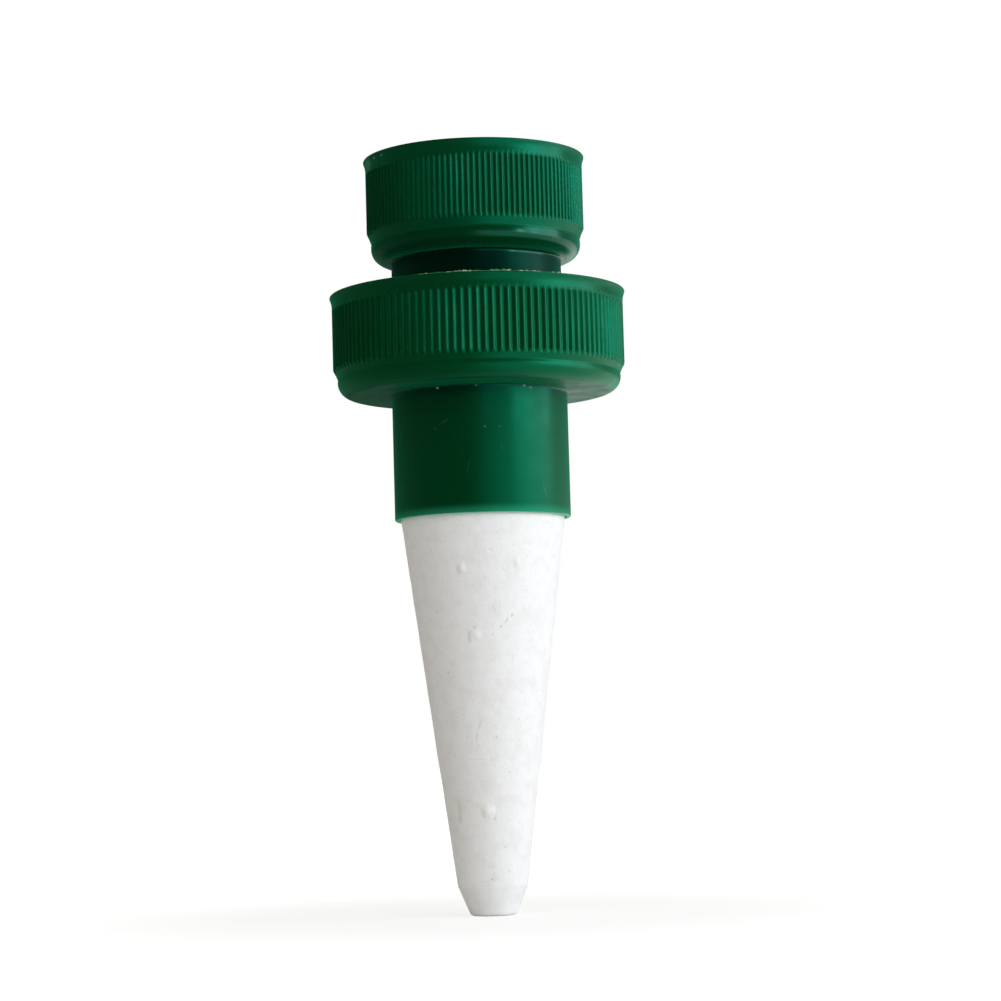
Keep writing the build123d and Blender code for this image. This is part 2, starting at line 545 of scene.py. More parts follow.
@dataclass(frozen=True)
class GreenPlastic(Finish):
    """Deep green moulded plastic, satin, with flow marks, dust and fine scratches.

    The parts in the shade of a cup get a painted shade colour: the neck between the cups, the sleeve's top
    and the large cup's underside. The sleeve's lip is thin and pale, with a painted light line along its
    lower edge, and the bead under the small cup is polished and darkened with painted shade.
    """

    body: Colour = (0.0006, 0.049, 0.0088)
    flow: Colour = (0.0005, 0.043, 0.0072)
    stem: Colour = (0.0002, 0.033, 0.0036)
    thin: Colour = (0.014, 0.180, 0.085)
    # painted light line along the sleeve lip's lower edge
    lip_painted_light_line: Colour = (0.22, 0.60, 0.43)
    # painted shade colour for the shaded zones and the bead
    painted_shade: Colour = (0.0003, 0.0065, 0.0040)
    dust: Colour = (0.30, 0.42, 0.34)
    gloss_tint: Colour = (0.02, 1.0, 0.62)
    edge_tint: Colour = (0.02, 1.0, 0.42)
    gloss: float = 1.0
    recess_gloss: float = 0.25
    smooth: float = 0.30
    dull: float = 0.42
    polished: float = 0.25
    # share of painted shade on the bead under the small cup
    bead_painted_shade: float = 0.45
    bead_gloss: float = 0.65
    bead_coat: float = 0.22
    coat_rough: float = 0.16
    edge_glow: float = 0.34
    under_glow: float = 0.2
    edge_rough: float = 0.45
    lip_fade: float = 1.4
    lip_line: float = 0.12
    sleeve_radius: float = mount_radius("sleeve")
    stem_radius: float = sleeve_radius + 0.15
    stem_fade: float = 0.5
    speck_share: float = 0.12
    flow_noise: Noise = Noise(14.0, 3.0, start=0.35, end=0.65)
    speck_noise: Noise = Noise(0.8, 1.0, start=0.76, end=0.82)
    patch_noise: Noise = Noise(3.5, 4.0, 0.6, depth=0.025)
    grain_noise: Noise = Noise(0.35, 3.0, depth=0.005)
    large_base: float = node_size("cone_seal_ring").top
    large_rim: float = node_size("large_bottle_socket").top
    small_seat: float = node_size("small_seal_washer").bottom
    # the neck, sleeve_top and underside zones get painted shade; the small bead zone is polished and gets
    # some painted shade
    neck: Zone = Zone(large_rim - 2.95, small_seat - 1.3, 0.3, 0.3, 1.0)
    sleeve_top: Zone = Zone(large_base - 0.4, large_base + 0.3, 1.3, 0.3, 0.75)
    underside: Zone = Zone(large_base - 0.2, large_base + 0.05, 0.1, 0.35, 0.55)
    small_bead: Zone = Zone(small_seat - 1.95, small_seat + 0.7, 0.3, 0.3, 1.0)
    sleeve_marks: tuple[Mark, ...] = (
        *Mark.group(
            MarkKind.DUST,
            (-27.4, 17.05, 0.32, 0.22, 0, 0.6),
            (-1.7, 17.15, 0.26, 0.18, 0, 0.4),
            (30.0, 17.15, 0.34, 0.22, 25, 0.6),
            (35.0, 16.9, 0.36, 0.18, 0, 0.5),
            (3.2, 11.55, 0.15, 0.15, 0, 0.35),
        ),
        *Mark.group(
            MarkKind.SCRATCH,
            (-23.3, 12.45, 1.30, 0.10, -25, 0.10),
            (-30.0, 11.6, 0.25, 0.14, 0, 0.14),
            (45.1, 2.85, 0.12, 1.30, -25, 0.12),
            (-8.0, 6.25, 0.08, 1.60, 12, 0.05),
            (14.0, 8.75, 0.07, 1.10, -20, 0.05),
        ),
    )
    rim_radius: float = mount_radius("small_bottle_thread") + 1.5
    rim_marks: tuple[Mark, ...] = Mark.group(
        MarkKind.DUST,
        (-63.0, 49.6, 0.42, 0.24, 20, 0.75),
        (-55.0, 49.6, 0.36, 0.20, 0, 0.65),
        (-74.0, 49.2, 2.20, 1.10, 0, 0.22),
    )

    def dress(self, graph: Graph) -> dict[str, Any]:
        """Inputs of the shader.

        Args:
            graph: Graph that gets the nodes.

        Returns:
            Each input's name, with a constant or the socket that feeds it.
        """
        height = graph.add("SeparateXYZ", {0: graph.place}).outputs["Z"]
        flat = graph.add("VectorMath", {0: graph.place, 1: (1.0, 1.0, 0.0)}, operation="MULTIPLY").outputs[0]
        stem_end = self.stem_radius + self.stem_fade
        inner = graph.ramp(graph.length(flat), stem_end * MM, self.stem_radius * MM)
        neck = graph.math("MULTIPLY", inner, self.neck.mask(graph, height))
        under = self.underside.mask(graph, height)
        bead = self.small_bead.mask(graph, height)
        # painted shade: the sleeve's top under the large cup, the neck between the cups and the large cup's
        # underside
        shaded = graph.math("MULTIPLY", inner, self.sleeve_top.mask(graph, height))
        shaded = graph.math("MAXIMUM", graph.math("MAXIMUM", shaded, neck), under)
        layers = (
            (inner, self.stem),
            (graph.ramp(height, self.lip_fade * MM, 0.0), self.thin),
            # painted light line along the lip's lower edge
            (graph.ramp(height, self.lip_line * MM, 0.0), self.lip_painted_light_line),
            # painted shade colour on the shaded zones
            (shaded, self.painted_shade),
            # painted shade on the bead under the small cup
            (graph.math("MULTIPLY", bead, self.bead_painted_shade), self.painted_shade),
            (self.worn(graph), self.dust),
        )
        colour = graph.mix(graph.patches(self.flow_noise), self.body, self.flow)
        for share, layer in layers:
            colour = graph.mix(share, colour, layer)
        waves = graph.noise(self.patch_noise)
        rough = graph.ramp(waves, self.patch_noise.start, self.patch_noise.end, self.smooth, self.dull)
        shine = graph.ramp(neck, 0.0, 1.0, self.gloss, self.recess_gloss)
        return {
            "Base Color": colour,
            "Roughness": graph.between(bead, rough, self.polished),
            "Specular IOR Level": graph.between(bead, shine, self.bead_gloss),
            "Specular Tint": self.gloss_tint,
            "Sheen Weight": graph.ramp(under, 0.0, self.underside.strength, self.edge_glow, self.under_glow),
            "Sheen Roughness": self.edge_rough,
            "Sheen Tint": self.edge_tint,
            "Coat Weight": graph.math("MULTIPLY", bead, self.bead_coat),
            "Coat Roughness": self.coat_rough,
            "Normal": graph.bump(waves, self.patch_noise.depth, graph.relief(self.grain_noise)),
        }

    def worn(self, graph: Graph) -> Socket:
        """Mask of the specks, dust and scratches.

        Args:
            graph: Graph that gets the nodes.

        Returns:
            The mask.
        """
        worn = graph.math("MULTIPLY", graph.patches(self.speck_noise), self.speck_share)
        for marks, radius in ((self.sleeve_marks, self.sleeve_radius), (self.rim_marks, self.rim_radius)):
            for mark in marks:
                worn = graph.math("MAXIMUM", worn, mark.mask(graph, radius))
        return worn


@dataclass(frozen=True)
class PorousCeramic(Finish):
    """Unglazed white ceramic with mottling, pores and the marks of use, each with the face's radius there.

    The raised blisters' centres get a painted highlight.
    """

    body: Colour = (0.885, 0.884, 0.876)
    cloud: Colour = (0.840, 0.830, 0.818)
    pore: Colour = (0.42, 0.40, 0.37)
    stain: Colour = (0.62, 0.58, 0.36)
    # painted highlight colour on the blisters' centres
    blister_painted_highlight: Colour = (0.93, 0.91, 0.89)
    rough: float = 0.9
    gloss: float = 0.15
    pore_share: float = 0.3
    mottle_noise: Noise = Noise(1.8, 5.0, 0.65, start=0.40, end=0.70)
    pore_noise: Noise = Noise(0.55, start=0.66, end=0.78, depth=0.03)
    peel_noise: Noise = Noise(1.1, 3.0, depth=0.035)
    grit_noise: Noise = Noise(0.3, depth=0.035)
    marks: tuple[tuple[Mark, float], ...] = ()

    def dress(self, graph: Graph) -> dict[str, Any]:
        """Inputs of the shader.

        Args:
            graph: Graph that gets the nodes.

        Returns:
            Each input's name, with a constant or the socket that feeds it.
        """
        colour = graph.mix(graph.patches(self.mottle_noise), self.body, self.cloud)
        pores = graph.patches(self.pore_noise)
        colour = graph.mix(graph.math("MULTIPLY", pores, self.pore_share), colour, self.pore)
        # blisters are raised in the mesh and get the painted highlight colour
        tints = {MarkKind.STAIN: self.stain, MarkKind.SCRATCH: self.pore, MarkKind.BLISTER: self.blister_painted_highlight}
        for mark, radius in self.marks:
            colour = graph.mix(mark.mask(graph, radius), colour, tints[mark.kind])
        grit = graph.relief(self.grit_noise, graph.relief(self.peel_noise))
        pits = graph.bump(graph.math("SUBTRACT", 1.0, pores), self.pore_noise.depth, grit)
        return {
            "Base Color": colour,
            "Roughness": self.rough,
            "Specular IOR Level": self.gloss,
            "Normal": pits,
        }


@dataclass(frozen=True)
class SealRubber(Finish):
    """Soft pale grey rubber."""

    body: Colour = (0.50, 0.50, 0.48)
    bloom: Colour = (0.62, 0.62, 0.60)
    smooth: float = 0.6
    dull: float = 0.8
    gloss: float = 0.3
    bloom_noise: Noise = Noise(2.5, 3.0, start=0.4)
    patch_noise: Noise = Noise(0.7)
    grain_noise: Noise = Noise(0.3, depth=0.012)

    def dress(self, graph: Graph) -> dict[str, Any]:
        """Inputs of the shader.

        Args:
            graph: Graph that gets the nodes.

        Returns:
            Each input's name, with a constant or the socket that feeds it.
        """
        return {
            "Base Color": graph.mix(graph.patches(self.bloom_noise), self.body, self.bloom),
            "Roughness": graph.patches(self.patch_noise, self.smooth, self.dull),
            "Specular IOR Level": self.gloss,
            "Normal": graph.relief(self.grain_noise),
        }


@dataclass(frozen=True)
class TornPlastic(Finish):
    """Stress-whitened edge of torn green plastic."""

    body: Colour = (0.50, 0.58, 0.38)
    root: Colour = (0.06, 0.24, 0.12)
    rough: float = 0.65
    streak_noise: Noise = Noise(1.6, start=0.48, end=0.66)
    grain_noise: Noise = Noise(0.15, depth=0.02)

    def dress(self, graph: Graph) -> dict[str, Any]:
        """Inputs of the shader.

        Args:
            graph: Graph that gets the nodes.

        Returns:
            Each input's name, with a constant or the socket that feeds it.
        """
        return {
            "Base Color": graph.mix(graph.patches(self.streak_noise), self.root, self.body),
            "Roughness": self.rough,
            "Normal": graph.relief(self.grain_noise),
        }


def place_piece(
    piece: bpy.types.Object,
    finish: bpy.types.Material,
    body: Body,
    slot: Slot,
    *nodes: str,
) -> None:
    """Dress a finished piece and tie it to the frame.

    Args:
        piece: The piece.
        finish: Its material.
        body: Body that carries it.
        slot: Slot of the record; not used.
        nodes: Nodes of the frame that it stands for.
    """
    piece.data.materials.clear()
    piece.data.materials.append(finish)
    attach(piece, body.value)
    if nodes:
        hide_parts(*nodes)
    log.info("%s: %d faces on %s", piece.name, len(piece.data.polygons), body.value)


@dataclass
class KnurledCup:
    """Knurled wall of one bottle socket, open end up."""

    base: float
    rim: float
    bore: float
    crest: float
    floor_top: float
    washer_top: float
    groove_depth: float
    bead_inset: float
    bead_height: float
    plain_height: float
    seat_width: float
    bead_rounding: float = 2.0
    bead_steps: int = 9
    flare: float = 0.34
    flare_height: float = 1.5
    flare_steps: int = 5
    rim_band: float = 2.0
    rim_edge: float = 0.12
    lead_in: float = 0.6
    lead_rounding: float = 0.3
    crease_depth: float = 0.07
    crease_width: float = 0.30
    crease_rounding: float = 0.2
    seat_step: float = 0.3
    seat_rounding: float = 0.1
    seat_steps: int = 2
    stem_fillet: float = 0.35
    fillet_steps: int = 4
    groove_end: float = 0.3
    rib_end: float = 0.6
    rib_rounding: float = 0.5
    crest_steps: int = 6
    ribs: int = 120
    columns_in_rib: int = 8
    factor_digits: int = 5

    @property
    def band_bottom(self) -> float:
        """Level at which the grooves end."""
        return self.rim - self.rim_band

    @property
    def groove_floor(self) -> float:
        """Radius of the grooves' bottoms."""
        return self.crest - self.groove_depth

    @property
    def rib_bottom(self) -> float:
        """Level at which the ribs have run out."""
        return self.crease + self.plain_height

    @property
    def bead(self) -> float:
        """Radius of the plain bead."""
        return self.crest - self.bead_inset

    @property
    def crease(self) -> float:
        """Level of the crease above the bead."""
        return self.base + self.bead_height

    @property
    def seat_radius(self) -> float:
        """Radius of the washer's pocket."""
        return self.bore - self.seat_step

    @property
    def seat_inner_radius(self) -> float:
        """Radius at which the washer's seat ends."""
        return self.seat_radius - self.seat_width

    def outside(self, stem_radius: float) -> list[Corner]:
        """Corners from the stem up to the rim's outer edge.

        Args:
            stem_radius: Radius of the stem under the cup.

        Returns:
            The corners.
        """
        flare_bottom = self.rim - self.flare_height
        flare = [
            Corner(self.crest + self.flare * share**2, flare_bottom + self.flare_height * share)
            for share in (step / self.flare_steps for step in range(self.flare_steps))
        ]
        return [
            Corner(stem_radius, self.base, self.stem_fillet, self.fillet_steps),
            Corner(self.bead, self.base, self.bead_rounding, self.bead_steps),
            Corner(self.bead, self.crease - self.crease_width, self.crease_rounding),
            Corner(self.bead - self.crease_depth, self.crease, self.crease_rounding),
            Corner(self.groove_floor, self.rib_bottom, self.rib_rounding),
            Corner(self.crest, self.rib_bottom + self.rib_end, self.rib_rounding, self.crest_steps),
            Corner(self.crest, self.band_bottom - self.groove_end),
            Corner(self.crest, self.band_bottom - self.groove_end / 2),
            Corner(self.crest, self.band_bottom),
            *flare,
            Corner(self.crest + self.flare, self.rim, self.rim_edge),
        ]

    def inside(self) -> list[Corner]:
        """Corners from the rim's inner edge down to the end of the washer's seat.

        Returns:
            The corners.
        """
        return [
            Corner(self.bore + self.lead_in, self.rim, self.rim_edge),
            Corner(self.bore, self.rim - self.lead_in, self.lead_rounding),
            Corner(self.bore, self.washer_top, self.seat_rounding, self.seat_steps),
            Corner(self.seat_radius, self.washer_top, self.seat_rounding, self.seat_steps),
            Corner(self.seat_radius, self.floor_top, self.seat_rounding, self.seat_steps),
        ]

    def rib_depths(self) -> list[float]:
        """Depth of each column under the rib's crest, from the crest to the groove's middle."""
        half = self.columns_in_rib // 2
        return [self.groove_depth * math.sin(math.pi / 2 * step / half) ** 2 for step in range(half + 1)]

    def turn(self, bench: Bench) -> None:
        """Turn the drawn outline into the whole cup, rib by rib.

        Args:
            bench: Bench that holds the outline.
        """
        bench.spin(self.columns_in_rib, 360 / self.ribs)
        self.cut_groove(bench)
        bench.repeat(self.ribs)

    def cut_groove(self, bench: Bench) -> None:
        """Sink the groove of one rib's wedge, and let it run out at both ends.

        Args:
            bench: Bench that holds the wedge.
        """
        places = bench.places()
        radius = np.hypot(places[:, 0], places[:, 1])
        level = places[:, 2]
        pitch = 2 * math.pi / self.ribs
        angle = np.arctan2(places[:, 1], places[:, 0])
        column = np.abs(np.rint(angle / pitch * self.columns_in_rib)).astype(int)
        offset = np.minimum(column, self.columns_in_rib - column)
        wall = (level > self.crease) & (level < self.band_bottom - MERGE_DISTANCE)
        wall &= radius > self.bore + self.lead_in
        ending = np.clip((self.band_bottom - level) / self.groove_end, 0, 1)
        depth = np.array(self.rib_depths())[offset] * np.sqrt(ending)
        factor = np.round(np.minimum(radius, self.crest - depth) / radius, self.factor_digits)
        groups: dict[float, list[int]] = defaultdict(list)
        for index in np.flatnonzero(wall & (factor < 1)):
            groups[factor[index]].append(index)
        for share, chosen in groups.items():
            bench.pick(chosen)
            bench.resize((share, share, 1.0))


@dataclass(frozen=True)
class ThreadForm:
    """Turns and pitch of a thread, the rise of its start above the wall's foot, and its ridge's height."""

    turns: float
    pitch: float
    rise: float
    height: float = 1.15


@dataclass
class HelicalThread:
    """Ridge of a right-handed bottle thread, inwards on a bore or outwards on a plug."""

    name: str
    form: ThreadForm
    root: float
    foot: float
    outwards: bool = False
    sink: float = 0.12
    root_width: float = 1.7
    crest_width: float = 0.8
    crest_rounding: float = 0.25
    columns_in_turn: int = 120
    run_out: int = 14
    first_step: float = 0.35
    smooth_angle: float = 40.0

    @property
    def start(self) -> float:
        """Level of the ridge's first column."""
        return self.foot + self.form.rise

    def build(self) -> bpy.types.Object:
        """Model the ridge.

        Returns:
            The finished object.
        """
        bench = Bench.from_point(self.name)
        way = 1 if self.outwards else -1
        sunk = self.root - way * self.sink
        crest = self.root + way * self.form.height
        outline = rounded(
            [
                Corner(sunk, self.start - self.root_width / 2),
                Corner(crest, self.start - self.crest_width / 2, self.crest_rounding),
                Corner(crest, self.start + self.crest_width / 2, self.crest_rounding),
                Corner(sunk, self.start + self.root_width / 2),
            ]
        )
        bench.draw(outline)
        steps = round(self.form.turns * self.columns_in_turn)
        bench.modify(
            "SCREW",
            axis="Z",
            angle=2 * math.pi * self.form.turns,
            screw_offset=self.form.pitch * self.form.turns * MM,
            steps=steps,
            render_steps=steps,
        )
        self.taper(bench, steps)
        bpy.ops.mesh.select_all(action="SELECT")
        bpy.ops.mesh.fill_holes(sides=0)
        bench.weld()
        return bench.close(self.smooth_angle)

    def taper(self, bench: Bench, steps: int) -> None:
        """Let both ends of the ridge die into the wall.

        Args:
            bench: Bench that holds the ridge.
            steps: Count of columns along it.
        """
        places = bench.places()
        turn = 2 * math.pi * self.form.turns / steps
        rise = self.form.pitch * self.form.turns / steps
        flat = np.arctan2(places[:, 1], places[:, 0])
        level = places[:, 2] - self.start
        lap = np.rint((level / rise * turn - flat) / (2 * math.pi))
        column = np.rint((flat + lap * 2 * math.pi) / turn).astype(int)
        for step in range(self.run_out):
            share = math.sqrt((step + self.first_step) / self.run_out)
            for place in (step, steps - step):
                across = self.root * math.cos(place * turn)
                along = self.root * math.sin(place * turn)
                bench.pick(np.flatnonzero(column == place))
                bench.resize((share, share, share), Vector((across, along, self.start + place * rise)))


@dataclass
class LargeBottleSocket:
    """Sleeve for the cone, the large knurled cup on it and that cup's thread."""

    finish: bpy.types.Material
    size: NodeSize = node_size("large_bottle_socket")
    washer: NodeSize = node_size("large_seal_washer")
    collar_ring: NodeSize = node_size("cone_seal_ring")
    sleeve_radius: float = mount_radius("sleeve")
    sleeve_wall: float = 0.75
    lip_rounding: float = 0.22
    water_hole: float = 8.0
    hole_rounding: float = 0.3
    bore: float = 18.8
    flare: float = 0.35
    thread: ThreadForm = ThreadForm(turns=1.55, pitch=4.0, rise=1.8)

    def cup(self) -> KnurledCup:
        """Sizes of the cup.

        Returns:
            The cup.
        """
        return KnurledCup(
            base=self.collar_ring.top,
            rim=self.size.top,
            bore=self.bore,
            crest=self.size.radius - self.flare,
            floor_top=self.washer.bottom,
            washer_top=self.washer.top,
            groove_depth=0.34,
            bead_inset=0.6,
            bead_height=2.4,
            plain_height=0.80,
            seat_width=5.3,
            flare=self.flare,
        )

    def build(self) -> None:
        """Model and place the moulding and its thread."""
        cup = self.cup()
        sleeve_bore = self.sleeve_radius - self.sleeve_wall
        corners = [
            Corner(sleeve_bore, 0, self.lip_rounding),
            Corner(self.sleeve_radius, 0, self.lip_rounding),
            *cup.outside(self.sleeve_radius),
            *cup.inside(),
            Corner(self.water_hole, cup.floor_top, self.hole_rounding),
            Corner(self.water_hole, cup.base, self.hole_rounding),
            Corner(sleeve_bore, cup.base),
        ]
        bench = Bench.from_point("large_socket_moulding")
        bench.draw(rounded(corners))
        cup.turn(bench)
        place_piece(bench.close(), self.finish, Body.SPIKE, Slot.GREEN_PLASTIC, "large_bottle_socket")
        thread = HelicalThread("large_socket_thread", self.thread, self.bore, self.washer.top)
        place_piece(thread.build(), self.finish, Body.SPIKE, Slot.GREEN_PLASTIC)


@dataclass
class SmallBottleReducer:
    """Small knurled cup on a hollow neck, with the threaded plug under it."""

    finish: bpy.types.Material
    size: NodeSize = node_size("small_bottle_reducer")
    washer: NodeSize = node_size("small_seal_washer")
    large_rim: float = node_size("large_bottle_socket").top
    bore: float = mount_radius("small_bottle_thread")
    wall: float = 1.22
    floor: float = 1.6
    neck_wall: float = 2.3
    neck_fillet: float = 0.4
    fillet_steps: int = 4
    bore_rounding: float = 0.3
    plug_wall: float = 2.1
    plug_recess: float = 1.6
    plug_roof: float = 1.8
    plug_lip: float = 0.25
    plug_edge: float = 0.4
    plug_shoulder: float = 0.7
    shoulder_steps: int = 5
    roof_fillet: float = 0.4
    plug_thread: ThreadForm = ThreadForm(turns=1.45, pitch=4.0, rise=3.8)
    bottle_thread: ThreadForm = ThreadForm(turns=2.1, pitch=3.18, rise=1.7)

    def cup(self) -> KnurledCup:
        """Sizes of the cup.

        Returns:
            The cup.
        """
        return KnurledCup(
            base=self.washer.bottom - self.floor,
            rim=self.size.top - BOX_MARGIN,
            bore=self.bore,
            crest=self.bore + self.wall,
            floor_top=self.washer.bottom,
            washer_top=self.washer.top,
            groove_depth=0.29,
            bead_inset=0.56,
            bead_height=2.7,
            plain_height=0.95,
            seat_width=4.1,
        )

    def build(self) -> None:
        """Model and place the moulding and its two threads."""
        cup = self.cup()
        plug_radius = self.size.radius
        plug_bore = plug_radius - self.plug_wall
        plug_top = self.large_rim - self.plug_recess
        ceiling = plug_top - self.plug_roof
        neck_bore = cup.seat_inner_radius
        neck_radius = neck_bore + self.neck_wall
        corners = [
            Corner(plug_bore, self.size.bottom, self.plug_lip),
            Corner(plug_radius, self.size.bottom, self.plug_edge),
            Corner(plug_radius, plug_top, self.plug_shoulder, self.shoulder_steps),
            Corner(neck_radius, plug_top, self.neck_fillet, self.fillet_steps),
            *cup.outside(neck_radius),
            *cup.inside(),
            Corner(neck_bore, cup.floor_top, self.bore_rounding),
            Corner(neck_bore, ceiling, self.bore_rounding),
            Corner(plug_bore, ceiling, self.roof_fillet),
        ]
        bench = Bench.from_point("reducer_moulding")
        bench.draw(rounded(corners))
        cup.turn(bench)
        place_piece(bench.close(), self.finish, Body.REDUCER, Slot.GREEN_PLASTIC, "small_bottle_reducer")
        plug = HelicalThread(
            "reducer_plug_thread", self.plug_thread, plug_radius, self.size.bottom, outwards=True
        )
        socket = HelicalThread("small_socket_thread", self.bottle_thread, self.bore, self.washer.top)
        for thread in (plug, socket):
            place_piece(thread.build(), self.finish, Body.REDUCER, Slot.GREEN_PLASTIC)


@dataclass
class SealWasher:
    """Flat rubber ring with soft edges, in the place of one node."""

    node: str
    body: Body
    finish: bpy.types.Material
    inner_radius: float
    edge: float = 0.25
    edge_steps: int = 4
    columns: int = 160

    def build(self) -> None:
        """Model and place the ring."""
        size = node_size(self.node)
        corners = [
            Corner(self.inner_radius, size.bottom, self.edge, self.edge_steps),
            Corner(size.radius, size.bottom, self.edge, self.edge_steps),
            Corner(size.radius, size.top, self.edge, self.edge_steps),
            Corner(self.inner_radius, size.top, self.edge, self.edge_steps),
        ]
        bench = Bench.from_point(f"{self.node}_ring")
        bench.draw(rounded(corners))
        bench.spin(self.columns)
        place_piece(bench.close(), self.finish, self.body, Slot.SEAL_RUBBER, self.node)


@dataclass
class CeramicCone:
    """Hollow cone of porous ceramic with a chamfered nose and a collar inside the sleeve."""

    size: NodeSize = node_size("ceramic_cone")
    nose_length: float = 4.05
    nose_end: float = 3.1
    nose_rounding: float = 0.7
    cone_end: float = 4.8
    foot_rounding: float = 1.2
    foot_margin: float = 1.0
    round_steps: int = 6
    wall: float = 2.8
    collar_rounding: float = 0.4
    tip_thickness: float = 7.0
    chamber_rounding: float = 0.8
    chamber_steps: int = 5
    rows: int = 230
    columns: int = 300
    smooth_angle: float = 60.0
    swell: Noise = Noise(5.0, depth=0.11)
    peel: Noise = Noise(0.9, depth=0.05)
    fade_length: float = 1.5
    tip_margin: float = 0.15
    rough_group: str = "outer_face"
    marks: tuple[Mark, ...] = (
        *Mark.group(
            MarkKind.SCRATCH,
            (22.4, -13.75, 0.16, 0.42, 48, 0.40),
            (17.4, -14.45, 0.14, 0.62, 36, 0.45),
            (12.8, -15.25, 0.16, 0.36, 45, 0.42),
            (6.0, -16.25, 0.14, 0.30, 45, 0.25),
            (-9.5, -15.25, 0.30, 0.26, 0, 0.45),
            (5.4, -4.95, 0.38, 0.14, 10, 0.22),
            (6.4, -12.85, 0.18, 0.14, 0, 0.25),
            (-9.3, -28.45, 0.24, 0.85, 24, 0.22),
            (-13.2, -29.95, 0.24, 0.85, 12, 0.18),
            (-14.0, -32.95, 2.10, 0.13, 0, 0.12),
            (-12.0, -49.95, 1.30, 0.13, 4, 0.18),
            (25.7, -48.15, 0.24, 0.20, 0, 0.25),
            (-0.6, -49.05, 0.20, 0.20, 0, 0.25),
            (4.5, -40.95, 0.28, 0.30, -40, 0.30),
        ),
        *Mark.group(
            MarkKind.BLISTER,
            (-8.5, -16.25, 0.85, 0.65, 0, 0.8),
            (-12.5, -16.65, 0.45, 0.40, 0, 0.6),
            (-17.0, -7.35, 0.60, 0.55, 0, 0.5),
            (25.4, -6.65, 0.60, 0.45, 30, 0.3),
            (-3.9, -39.95, 0.95, 0.85, 0, 0.5),
        ),
        *Mark.group(
            MarkKind.STAIN,
            (-43.0, -39.55, 0.55, 1.95, 0, 0.26),
            (-44.5, -41.00, 0.60, 0.75, 0, 0.34),
        ),
    )
    blister_height: float = 0.32
    scratch_depth: float = 0.08
    scar_rings: tuple[float, ...] = (1.0, 0.88, 0.74, 0.6, 0.45, 0.3)

    @property
    def cone_foot(self) -> float:
        """Level at which the nose starts."""
        return self.size.bottom + self.nose_length

    def face_radius(self, height: float) -> float:
        """Radius of the tapered face at a level."""
        return self.size.radius + (self.size.radius - self.cone_end) * height / -self.cone_foot

    def outline(self) -> list[Corner]:
        """Corners from the nose's middle up the outside and down the chamber.

        Returns:
            The corners.
        """
        tip = self.size.bottom + BOX_MARGIN
        chamber = self.size.radius - self.wall
        chamber_end = self.size.bottom + self.tip_thickness
        chamber_tip = self.face_radius(chamber_end) - self.wall
        return [
            Corner(0, tip),
            Corner(self.nose_end, tip, self.nose_rounding, self.round_steps),
            Corner(self.cone_end, self.cone_foot, self.foot_rounding, self.round_steps),
            Corner(self.size.radius, 0),
            Corner(self.size.radius, self.size.top, self.collar_rounding),
            Corner(chamber, self.size.top, self.collar_rounding),
            Corner(chamber, 0),
            Corner(chamber_tip, chamber_end, self.chamber_rounding, self.chamber_steps),
            Corner(0, chamber_end),
        ]

    def finish(self) -> bpy.types.Material:
        """Ceramic with this cone's marks."""
        marks = tuple((mark, self.face_radius(mark.height)) for mark in self.marks)
        return PorousCeramic("porous_ceramic", marks=marks).material()

    def build(self) -> None:
        """Model and place the cone."""
        bench = Bench.from_point("porous_cone")
        outline = rounded(self.outline(), closed=False)
        bench.draw(outline, closed=False)
        face_start = self.cone_foot + self.foot_margin
        foot = max(index for index, (_, height) in enumerate(outline) if height < face_start)
        bench.cut(foot, self.rows)
        bench.spin(self.columns)
        self.roughen(bench)
        self.scar(bench)
        piece = bench.close(self.smooth_angle)
        place_piece(piece, self.finish(), Body.SPIKE, Slot.CERAMIC, "ceramic_cone")

    def roughen(self, bench: Bench) -> None:
        """Give the outer face its slight swells and orange peel.

        Args:
            bench: Bench that holds the cone.
        """
        places = bench.places()
        radius = np.hypot(places[:, 0], places[:, 1])
        level = places[:, 2]
        face = np.array([self.face_radius(height) for height in level])
        outer = (radius > face - self.wall / 2) | (level < self.cone_foot + self.foot_margin)
        below_lip = np.clip(-level / self.fade_length, 0, 1)
        above_tip = np.clip((level - self.size.bottom - self.tip_margin) / self.fade_length, 0, 1)
        fade = below_lip * above_tip
        bpy.ops.object.mode_set(mode="OBJECT")
        group = bench.piece.vertex_groups.new(name=self.rough_group)
        for index in np.flatnonzero(outer & (fade > 0)):
            group.add([int(index)], float(fade[index]), "REPLACE")
        bpy.ops.object.mode_set(mode="EDIT")
        for name, noise in (("swell", self.swell), ("peel", self.peel)):
            texture = bpy.data.textures.new(f"ceramic_{name}", "CLOUDS")
            texture.noise_scale = noise.size * MM
            texture.noise_depth = round(noise.detail)
            bench.modify(
                "DISPLACE",
                texture=texture,
                texture_coords="LOCAL",
                vertex_group=self.rough_group,
                mid_level=0.5,
                strength=noise.depth * MM,
            )
        bench.piece.vertex_groups.clear()

    def scar(self, bench: Bench) -> None:
        """Raise the blisters and sink the scratches, ring by ring.

        Args:
            bench: Bench that holds the cone.
        """
        places = bench.places()
        heights = {MarkKind.BLISTER: self.blister_height, MarkKind.SCRATCH: -self.scratch_depth}
        for mark in self.marks:
            if mark.kind not in heights:
                continue
            nearness = mark.nearness(places, self.face_radius(mark.height))
            for reach in self.scar_rings:
                chosen = np.flatnonzero(nearness < reach)
                if len(chosen):
                    bench.pick(chosen)
                    bpy.ops.transform.shrink_fatten(value=heights[mark.kind] / len(self.scar_rings) * MM)


